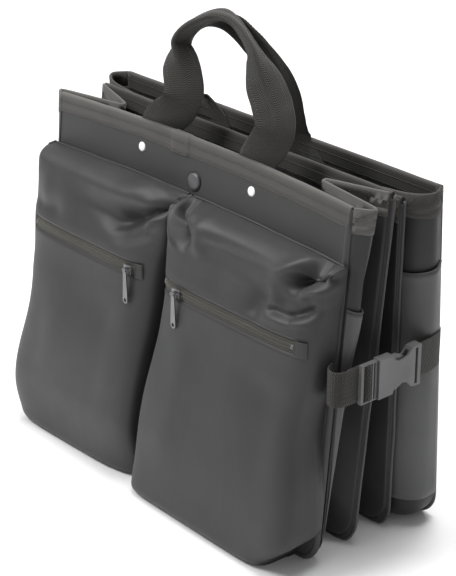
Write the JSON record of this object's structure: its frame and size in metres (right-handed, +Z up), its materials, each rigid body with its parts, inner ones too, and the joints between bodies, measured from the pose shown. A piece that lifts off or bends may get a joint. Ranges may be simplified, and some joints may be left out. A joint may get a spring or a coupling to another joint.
{
  "type": "collapsible cargo bag",
  "caption": "Soft accordion cargo bag, folded flat: pleated gussets join stiff walls and dividers, zipped front pockets, webbing handles and buckled side straps.",
  "frame": {"origin": "bottom centre of the bag's overall box, on the surface that it stands on", "axes": "+X along the bag's width, +Y from the front pockets to the rear wall, +Z up"},
  "size_m": [0.48, 0.188, 0.4572],
  "materials": {
    "coated_nylon": "coated plain weave, satin",
    "lining": "thin plain weave, matte",
    "board": "polypropylene sheet",
    "hem_tape": "grosgrain binding tape, matte",
    "webbing": "polypropylene webbing, coarse weave",
    "buckle_plastic": "moulded acetal, fine texture",
    "zip_tape": "woven zip tape",
    "zip_coil": "nylon coil",
    "zip_metal": "gunmetal plating",
    "snap_cap": "dark satin lacquer",
    "snap_metal": "satin nickel",
    "rivet": "bright, plain"
  },
  "bodies": {
    "front": {"front_binding": "hem_tape", "front_board": "board", "front_gusset": "coated_nylon", "front_handle_feet": "webbing", "front_lining": "lining", "front_panel": "coated_nylon", "front_rivet_washers": "snap_metal", "front_rivets": "rivet", "front_side_pockets": "coated_nylon", "front_snap_cap": "snap_cap", "left_buckle_male": "buckle_plastic", "left_pocket_pouch": "coated_nylon", "left_pocket_yoke": "coated_nylon", "left_pocket_zip_stops": "zip_metal", "left_pocket_zip_tapes": "zip_tape", "left_pocket_zip_teeth": "zip_coil", "left_strap_front": "webbing", "right_buckle_male": "buckle_plastic", "right_pocket_pouch": "coated_nylon", "right_pocket_yoke": "coated_nylon", "right_pocket_zip_stops": "zip_metal", "right_pocket_zip_tapes": "zip_tape", "right_pocket_zip_teeth": "zip_coil", "right_strap_front": "webbing", "snap_socket": "snap_metal"},
    "first_divider": {"first_divider": "coated_nylon", "first_divider_binding": "hem_tape", "middle_gusset": "coated_nylon", "middle_side_pockets": "coated_nylon"},
    "second_divider": {"second_divider": "coated_nylon", "second_divider_binding": "hem_tape", "rear_gusset": "coated_nylon", "rear_side_pockets": "coated_nylon"},
    "rear": {"rear_panel": "coated_nylon", "rear_board": "board", "rear_lining": "lining", "rear_binding": "hem_tape", "rear_snap_cap": "snap_cap", "snap_stud": "snap_metal", "rear_rivets": "rivet", "rear_rivet_washers": "snap_metal", "rear_handle_feet": "webbing", "left_strap_rear": "webbing", "right_strap_rear": "webbing", "left_buckle_female": "buckle_plastic", "right_buckle_female": "buckle_plastic"},
    "front_handle": {"front_handle_loop": "webbing"},
    "rear_handle": {"rear_handle_loop": "webbing"},
    "left_zip_slider": {"left_pocket_zip_slider": "zip_metal"},
    "left_zip_pull": {"left_pocket_zip_pull": "zip_metal"},
    "left_upper_prong": {"left_buckle_upper_prong": "buckle_plastic"},
    "left_lower_prong": {"left_buckle_lower_prong": "buckle_plastic"},
    "right_zip_slider": {"right_pocket_zip_slider": "zip_metal"},
    "right_zip_pull": {"right_pocket_zip_pull": "zip_metal"},
    "right_upper_prong": {"right_buckle_upper_prong": "buckle_plastic"},
    "right_lower_prong": {"right_buckle_lower_prong": "buckle_plastic"}
  },
  "joints": [
    {"name": "front_compartment_open", "type": "slide", "parent": "front", "child": "first_divider", "axis": [0, 1, 0], "range_m": [0, 0.065], "deforming": ["front_gusset", "front_side_pockets", "left_buckle_upper_prong", "left_buckle_lower_prong", "right_buckle_upper_prong", "right_buckle_lower_prong"]},
    {"name": "middle_compartment_open", "type": "slide", "parent": "first_divider", "child": "second_divider", "axis": [0, 1, 0], "range_m": [0, 0.065], "deforming": ["middle_gusset", "middle_side_pockets", "left_buckle_upper_prong", "left_buckle_lower_prong", "right_buckle_upper_prong", "right_buckle_lower_prong"]},
    {"name": "rear_compartment_open", "type": "slide", "parent": "second_divider", "child": "rear", "axis": [0, 1, 0], "range_m": [0, 0.065], "deforming": ["rear_gusset", "rear_side_pockets", "left_buckle_upper_prong", "left_buckle_lower_prong", "right_buckle_upper_prong", "right_buckle_lower_prong"]},
    {"name": "front_handle_swing", "type": "hinge", "parent": "front", "child": "front_handle", "pos_m": [0, -0.0136, 0.343], "axis": [1, 0, 0], "range_deg": [0, 95]},
    {"name": "rear_handle_swing", "type": "hinge", "parent": "rear", "child": "rear_handle", "pos_m": [0, 0.0744, 0.343], "axis": [-1, 0, 0], "range_deg": [0, 95]},
    {"name": "left_zip_open", "type": "slide", "parent": "front", "child": "left_zip_slider", "axis": [-1, 0, 0], "range_m": [0, 0.14]},
    {"name": "left_pull_flip", "type": "hinge", "parent": "left_zip_slider", "child": "left_zip_pull", "pos_m": [-0.0365, -0.0736, 0.218], "axis": [-1, 0, 0], "range_deg": [0, 170]},
    {"name": "left_upper_prong_squeeze", "type": "hinge", "parent": "front", "child": "left_upper_prong", "pos_m": [-0.2355, -0.0044, 0.1967], "axis": [-1, 0, 0], "range_deg": [0, 6], "stiffness_Nm_per_rad": 0.5},
    {"name": "left_lower_prong_squeeze", "type": "hinge", "parent": "front", "child": "left_lower_prong", "pos_m": [-0.2355, -0.0044, 0.1753], "axis": [1, 0, 0], "range_deg": [0, 6], "stiffness_Nm_per_rad": 0.5},
    {"name": "right_zip_open", "type": "slide", "parent": "front", "child": "right_zip_slider", "axis": [1, 0, 0], "range_m": [0, 0.14]},
    {"name": "right_pull_flip", "type": "hinge", "parent": "right_zip_slider", "child": "right_zip_pull", "pos_m": [0.0365, -0.0736, 0.218], "axis": [-1, 0, 0], "range_deg": [0, 170]},
    {"name": "right_upper_prong_squeeze", "type": "hinge", "parent": "front", "child": "right_upper_prong", "pos_m": [0.2355, -0.0044, 0.1967], "axis": [-1, 0, 0], "range_deg": [0, 6], "stiffness_Nm_per_rad": 0.5},
    {"name": "right_lower_prong_squeeze", "type": "hinge", "parent": "front", "child": "right_lower_prong", "pos_m": [0.2355, -0.0044, 0.1753], "axis": [1, 0, 0], "range_deg": [0, 6], "stiffness_Nm_per_rad": 0.5}
  ],
  "couplings": [
    {"joint": "left_lower_prong_squeeze", "follows": "left_upper_prong_squeeze", "ratio": 1},
    {"joint": "right_lower_prong_squeeze", "follows": "right_upper_prong_squeeze", "ratio": 1}
  ]
}
